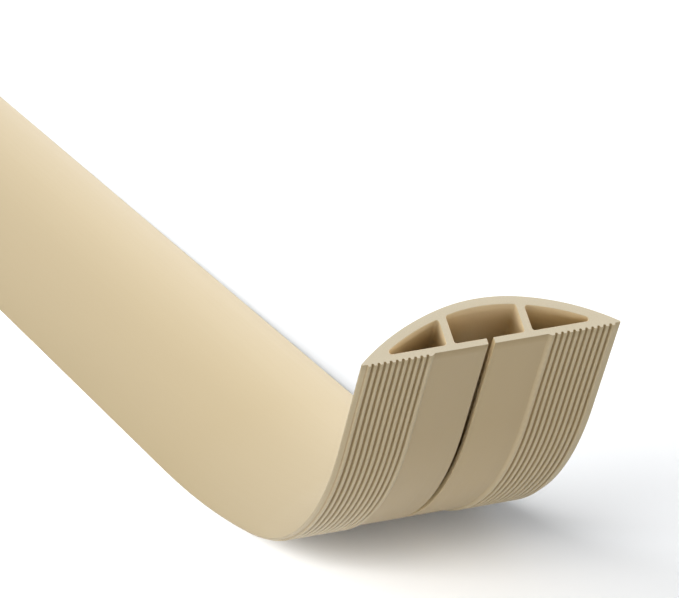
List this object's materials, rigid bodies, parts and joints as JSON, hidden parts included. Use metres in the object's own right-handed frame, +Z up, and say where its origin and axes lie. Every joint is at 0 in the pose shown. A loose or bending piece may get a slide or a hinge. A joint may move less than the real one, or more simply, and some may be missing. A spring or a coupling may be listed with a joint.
{
  "type": "floor cord cover",
  "caption": "Low domed strip of flexible PVC with a ribbed, slit underside and hollow channels that carry cords across a floor; one end curls up to show the section.",
  "frame": {"origin": "on the floor plane that the rib tips lie on, under the middle of the overall box", "axes": "+X runs along the strip from the flat cut end to the curled end, +Y across it, +Z up out of the dome"},
  "size_m": [0.9738, 0.065, 0.0911],
  "materials": {
    "beige_pvc": "flexible beige PVC, matt with a soft sheen on the extruded dome, fine sandy grain on the cut ends"
  },
  "bodies": {
    "root": {"cord_cover": "beige_pvc"}
  },
  "joints": []
}
